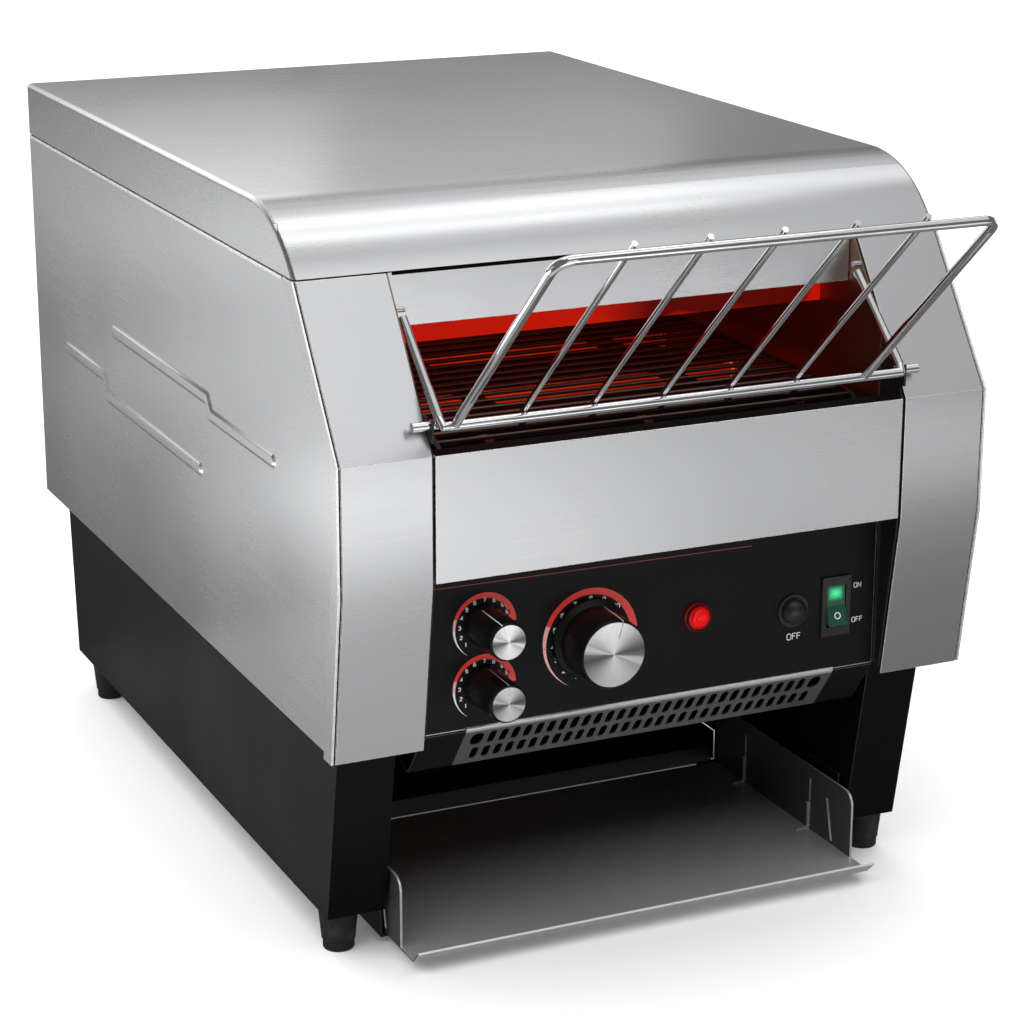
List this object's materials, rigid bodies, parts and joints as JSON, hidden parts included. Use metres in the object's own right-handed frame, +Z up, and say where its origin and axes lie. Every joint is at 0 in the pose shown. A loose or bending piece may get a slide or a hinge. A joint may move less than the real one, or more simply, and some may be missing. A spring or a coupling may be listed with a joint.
{
  "type": "conveyor toaster",
  "caption": "Counter-top conveyor toaster with a steel casing, folding wire loading rack, belt oven, return chute, pull-out collecting tray and front controls.",
  "frame": {"origin": "centre of the outline's footprint on the bench, between and under the feet", "axes": "+X to the right seen from the front, +Y to the back, +Z up; the controls face -Y"},
  "size_m": [0.3704, 0.6676, 0.409],
  "materials": {
    "steel": "brushed",
    "panel_edge": "brushed",
    "overlay": "satin printed film",
    "black_steel": "satin powder coat",
    "guard_steel": "dark brushed",
    "foot_rubber": "matte",
    "oven_steel": "heat tinted",
    "heater": "glowing sheath",
    "ceramic": "matt",
    "belt_steel": "drawn wire",
    "bright_steel": "ground",
    "sprocket_steel": "oiled",
    "bronze": "sintered",
    "motor_paint": "satin",
    "black_plastic": "moulded",
    "chute_steel": "brushed",
    "tray_steel": "dark brushed",
    "chrome": "bright plated",
    "knob_plastic": "moulded",
    "knob_face": "spun",
    "switch_body": "moulded phenolic",
    "rocker_green": "lit translucent",
    "lamp_red": "lit translucent",
    "board_green": "lacquered",
    "screw_steel": "plated"
  },
  "bodies": {
    "housing": {"top_cover": "steel", "left_side_panel": "steel", "right_side_panel": "steel", "left_front_pillar": "steel", "right_front_pillar": "steel", "front_panel": "steel", "upper_front_panel": "steel", "rear_panel": "steel", "control_panel": "panel_edge", "control_overlay": "overlay", "control_box": "black_steel", "left_base_side": "black_steel", "right_base_side": "black_steel", "rear_base_panel": "black_steel", "tray_rails": "black_steel", "discharge_guard": "guard_steel", "feet": "foot_rubber", "left_oven_wall": "oven_steel", "right_oven_wall": "oven_steel", "oven_floor": "oven_steel", "oven_ceiling": "oven_steel", "belt_runners": "oven_steel", "upper_heaters": "heater", "lower_heaters": "heater", "heater_insulators": "ceramic", "conveyor_belt": "belt_steel", "motor_bracket": "bright_steel", "rack_stop_pins": "bright_steel", "drive_chain": "sprocket_steel", "shaft_bushes": "bronze", "gearmotor": "motor_paint", "fan_frame": "black_plastic", "switch_housings": "black_plastic", "cord_gland": "black_plastic", "discharge_chute": "chute_steel", "knob_switches": "switch_body", "cycle_lamp": "lamp_red", "control_board": "board_green", "case_screws": "screw_steel"},
    "rack": {"rack_fence": "chrome", "rack_wires": "chrome", "rack_bottom_rod": "chrome", "rack_arms": "chrome", "rack_stubs": "chrome"},
    "tray": {"discharge_tray": "tray_steel"},
    "speed_control": {"speed_knob": "knob_plastic", "speed_knob_cap": "knob_face"},
    "upper_heat_control": {"upper_heat_knob": "knob_plastic", "upper_heat_cap": "knob_face"},
    "lower_heat_control": {"lower_heat_knob": "knob_plastic", "lower_heat_cap": "knob_face"},
    "rocker": {"power_rocker": "rocker_green"},
    "button": {"off_button": "black_plastic"},
    "drive_axle": {"drive_shaft": "bright_steel", "drive_sprockets": "sprocket_steel", "shaft_chain_sprocket": "sprocket_steel"},
    "idler_axle": {"idler_shaft": "bright_steel", "idler_sprockets": "sprocket_steel"},
    "motor_output": {"motor_sprocket": "sprocket_steel"},
    "fan": {"fan_rotor": "black_plastic"}
  },
  "joints": [
    {"name": "rack_tilt", "type": "hinge", "parent": "housing", "child": "rack", "pos_m": [0, -0.21065, 0.2994], "axis": [-1, 0, 0], "range_deg": [0, 70]},
    {"name": "tray_slide", "type": "slide", "parent": "housing", "child": "tray", "axis": [0, -1, 0], "range_m": [0, 0.12]},
    {"name": "speed_turn", "type": "hinge", "parent": "housing", "child": "speed_control", "pos_m": [-0.0385, -0.21525, 0.171], "axis": [0, 1, 0], "range_deg": [-168, 69]},
    {"name": "upper_heat_turn", "type": "hinge", "parent": "housing", "child": "upper_heat_control", "pos_m": [-0.098, -0.21525, 0.187], "axis": [0, 1, 0], "range_deg": [-122, 110]},
    {"name": "lower_heat_turn", "type": "hinge", "parent": "housing", "child": "lower_heat_control", "pos_m": [-0.098, -0.21525, 0.154], "axis": [0, 1, 0], "range_deg": [-144, 88]},
    {"name": "rocker_tip", "type": "hinge", "parent": "housing", "child": "rocker", "pos_m": [0.1085, -0.19475, 0.168], "axis": [1, 0, 0], "range_deg": [0, 22]},
    {"name": "button_press", "type": "slide", "parent": "housing", "child": "button", "axis": [0, 1, 0], "range_m": [0, 0.003], "stiffness_N_per_m": 400, "springref_m": -0.002},
    {"name": "drive_spin", "type": "hinge", "parent": "housing", "child": "drive_axle", "pos_m": [0, 0.20975, 0.262], "axis": [1, 0, 0], "continuous": true},
    {"name": "idler_spin", "type": "hinge", "parent": "housing", "child": "idler_axle", "pos_m": [0, -0.17725, 0.262], "axis": [1, 0, 0], "continuous": true},
    {"name": "motor_spin", "type": "hinge", "parent": "housing", "child": "motor_output", "pos_m": [0.1695, 0.13975, 0.175], "axis": [1, 0, 0], "continuous": true},
    {"name": "fan_spin", "type": "hinge", "parent": "housing", "child": "fan", "pos_m": [0, 0.30975, 0.18], "axis": [0, 1, 0], "continuous": true}
  ],
  "couplings": [
    {"joint": "idler_spin", "follows": "drive_spin", "ratio": 1},
    {"joint": "motor_spin", "follows": "drive_spin", "ratio": 1.5}
  ]
}
